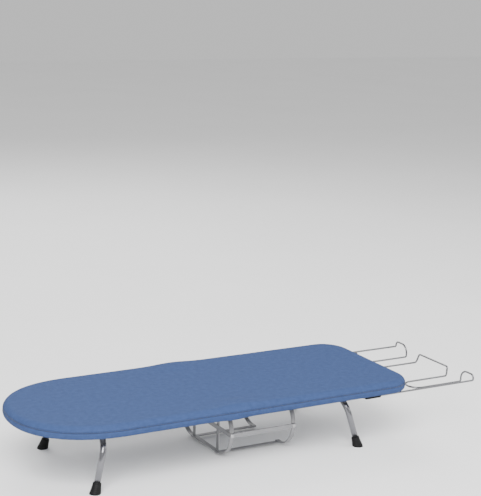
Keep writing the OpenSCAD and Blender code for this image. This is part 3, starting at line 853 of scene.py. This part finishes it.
def rounded_bar(name, node, axis, power, ribs, slot):
    """Bar with rounded corners that fills a node's box along one axis, with fine ribs or none."""
    low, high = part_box(node)
    middle, half = (low + high) / 2, (high - low) / 2
    u, v = [k for k in range(3) if k != axis]
    around = 144
    vertices = []
    stations = [(-1.0, 0.86), (-0.975, 0.95), (-0.93, 1.0), (0.93, 1.0), (0.975, 0.95), (1.0, 0.86)]
    for share, size in stations:
        for k in range(around):
            a = 2 * math.pi * k / around
            c, s = math.cos(a), math.sin(a)
            r = (abs(c) ** power + abs(s) ** power) ** (-1 / power)
            rib = 0.965 if ribs and k % 6 < 3 else 1
            place = [0.0, 0.0, 0.0]
            place[axis] = middle[axis] + half[axis] * share
            place[u] = middle[u] + half[u] * r * c * size * rib
            place[v] = middle[v] + half[v] * r * s * size * rib
            vertices.append(place)
    mesh = mesh_from(name, vertices, ring_faces(len(stations), around), smooth=not ribs)
    recalculate_normals(mesh)
    obj = add_object(name, mesh, slot)
    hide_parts(node)
    return obj


def make_clips():
    for label in ("left", "right"):
        clip = rounded_bar(f"ribbed_clip_{label}", f"rest_clip_{label}", 0, 5, True, "black_plastic")
        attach(clip, "square_half")


def make_sleeves():
    """Flattened sleeve that joins the two tubes of each leg."""
    for half in ("nose", "square"):
        sleeve = rounded_bar(f"leg_sleeve_{half}", f"leg_connector_{half}", 1, 3.2, False, "leg_paint")
        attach(sleeve, f"{half}_leg")


# ---- Hanging hook ----


def make_hook():
    """Bent wire that hangs from its eye, with a rubber tip."""
    x, _, z = JOINTS["hook_swivel"]["pos_m"]
    hook_r, wire_r = 18 * MM, 2.25 * MM
    foot_x = x - 101 * MM
    corners = [
        ((x - 2.6 * MM, 0, z), 0), ((x - 50 * MM, -2 * MM, z), 12 * MM),
        ((x - 72 * MM, hook_r, z), 10 * MM), ((foot_x, hook_r, z), hook_r - 1 * MM),
        ((foot_x, -hook_r, z), hook_r - 1 * MM), ((foot_x + 18 * MM, -hook_r - 7 * MM, z), 0),
    ]
    path = rounded_path(corners, 16)
    hook = add_object("hook_rod", tube_mesh("hook_rod", path, wire_r, 20), "bright_wire")
    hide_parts("hook_wire")
    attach(hook, "hanging_hook")
    make_hook_eye(x, z)
    make_hook_tip(path[-1], path[-1] - path[-2])


def make_hook_eye(x, z):
    """Short sleeve round the hook's pin, closed inside and out."""
    wide, sides, vertices = 5.4 * MM, 40, []
    section = [(1.6, -1), (3.2, -1), (3.3, -0.9), (3.3, 0.9), (3.2, 1), (1.6, 1)]
    for r, share in section:
        centre = np.array([x, wide * share, z])
        vertices += ring_points(centre, r * MM, np.array([1.0, 0, 0]), np.array([0, 0, 1.0]), sides)
    mesh = mesh_from("hook_eye", vertices, ring_faces(len(section), sides, closed=True))
    recalculate_normals(mesh)
    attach(add_object("hook_eye", mesh, "bright_wire"), "hanging_hook")


def make_hook_tip(end, direction):
    """Ribbed rubber tip on the wire's end. Its profile is (distance past the end, radius) in mm."""
    direction = direction / np.linalg.norm(direction)
    profile = [(-10, 2.35), (-10, 3.7), (-9.4, 4.2)]
    for k in range(33):
        profile.append((-9 + k * 12 / 32, 4.2 - 0.35 * (0.5 - 0.5 * math.cos(2 * math.pi * k / 5.33))))
    profile += [(3.5, 3.9), (4.0, 3.0), (4.2, 1.4), (4.25, 0.05)]
    path = [end + direction * d * MM for d, _ in profile]
    _, n, b = carried_frames([end, end + direction * MM])[0]
    sides, vertices = 32, []
    for p, (_, r) in zip(path, profile):
        vertices += ring_points(p, r * MM, n, b, sides)
    mesh = mesh_from("ribbed_tip", vertices, ring_faces(len(profile), sides))
    recalculate_normals(mesh)
    obj = add_object("ribbed_tip", mesh, "black_rubber")
    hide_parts("hook_tip")
    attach(obj, "hanging_hook")


# ---- Drawstring and edge strap ----


def make_drawstring():
    """The two stretches of cord between the lock and the hem."""
    low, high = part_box("drawstring")
    radius = 0.9 * MM
    from_z, to_z = low.z + radius + 0.3 * MM, high.z - radius
    for index, (y0, y1) in enumerate(((42.5 * MM, 38 * MM), (46.5 * MM, 41 * MM))):
        start = np.array([low.x, y0, from_z])
        stop = np.array([high.x, y1, to_z])
        curve = bpy.data.curves.new(f"drawstring_{index + 1}", "CURVE")
        curve.dimensions = "3D"
        curve.bevel_depth = radius
        curve.bevel_resolution = 4
        curve.use_fill_caps = True
        spline = curve.splines.new("POLY")
        count = 15
        spline.points.add(count - 1)
        for k in range(count):
            share = k / (count - 1)
            p = start + (stop - start) * share
            p[2] -= 0.5 * MM * math.sin(math.pi * share)
            spline.points[k].co = (*p, 1)
        obj = bpy.data.objects.new(curve.name, curve)
        bpy.context.scene.collection.objects.link(obj)
        curve.materials.append(MATERIALS["drawstring_cord"])
        if index == 0:
            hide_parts("drawstring")
        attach(obj, "square_half")


def make_edge_strap():
    """Woven strap that comes out from under the board and up over its edge."""
    low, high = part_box("edge_strap")
    half = 0.75 * MM
    corners = [
        ((low.x, 0, low.z + half), 0),
        ((high.x - half, 0, low.z + half), 5 * MM),
        ((high.x - half, 0, high.z), 0),
    ]
    path = rounded_path(corners, 12)
    middle, wide = (low.y + high.y) / 2, (high.y - low.y) / 2
    section = ((-1, -0.7), (-0.9, -1), (0.9, -1), (1, -0.7), (1, 0.7), (0.9, 1), (-0.9, 1), (-1, 0.7))
    vertices = []
    for p, (t, _, _) in zip(path, carried_frames(path)):
        out = np.array([t[2], 0, -t[0]])
        for u, v in section:
            q = p + out * v * half
            vertices.append((q[0], middle + u * wide, q[2]))
    mesh = mesh_from("woven_strap", vertices, ring_faces(len(path), len(section)))
    recalculate_normals(mesh)
    obj = add_object("woven_strap", mesh, "strap_webbing")
    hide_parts("edge_strap")
    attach(obj, "square_half")


# ---- Studio ----


def make_floor():
    work = bmesh.new()
    bmesh.ops.create_grid(work, x_segments=8, y_segments=8, size=9)
    mesh = bpy.data.meshes.new("floor")
    work.to_mesh(mesh)
    work.free()
    floor = bpy.data.objects.new("floor", mesh)
    bpy.context.scene.collection.objects.link(floor)
    paper = Nodes("studio_paper", (0.93, 0.93, 0.93), 0.9)
    paper.color_from(paper.noise(paper.coordinates(), 2, 2), (0.92, 0.92, 0.92), (0.94, 0.94, 0.94))
    mesh.materials.append(paper.material)


def add_light(name, place, size, power):
    light = bpy.data.lights.new(name, "AREA")
    light.size = size
    light.energy = power
    obj = bpy.data.objects.new(name, light)
    obj.location = place
    target = Vector((FOLD_X, 0, TOP_Z))
    obj.rotation_euler = (target - Vector(place)).to_track_quat("-Z", "Y").to_euler()
    bpy.context.scene.collection.objects.link(obj)


def make_studio():
    world = bpy.data.worlds.new("studio")
    world.use_nodes = True
    world.node_tree.nodes["Background"].inputs["Color"].default_value = (1, 1, 1, 1)
    world.node_tree.nodes["Background"].inputs["Strength"].default_value = 0.7
    bpy.context.scene.world = world
    add_light("key", (-1.6, -2.2, 2.6), 2.4, 240)
    add_light("fill", (2.4, -1.2, 1.8), 2.4, 60)
    add_light("back", (0.2, 2.6, 2.4), 2.0, 60)


def make_camera():
    azimuth, elevation, roll = math.radians(-30.36), math.radians(12.34), math.radians(1.99)
    distance = 4.352
    aim = Vector((FOLD_X + 0.844, 1.306, 0.09))
    back = Vector(
        (
            math.sin(azimuth) * math.cos(elevation),
            -math.cos(azimuth) * math.cos(elevation),
            math.sin(elevation),
        )
    )
    data = bpy.data.cameras.new("camera")
    data.lens = 98.8
    camera = bpy.data.objects.new("camera", data)
    turn = (-back).to_track_quat("-Z", "Y").to_matrix().to_4x4() @ Matrix.Rotation(roll, 4, "Z")
    camera.matrix_world = Matrix.Translation(aim + back * distance) @ turn
    bpy.context.scene.collection.objects.link(camera)
    bpy.context.scene.camera = camera


make_camera()
make_studio()
make_floor()
finish_cad_nodes()
make_drawstring()
make_pad("nose", LEFT)
make_pad("square", RIGHT)
make_seam(*make_cover())
expanded_metal("nose", LEFT)
expanded_metal("square", RIGHT)
make_leg("nose", LEFT)
make_leg("square", RIGHT)
make_iron_rest()
make_clips()
make_sleeves()
make_hook()
make_edge_strap()
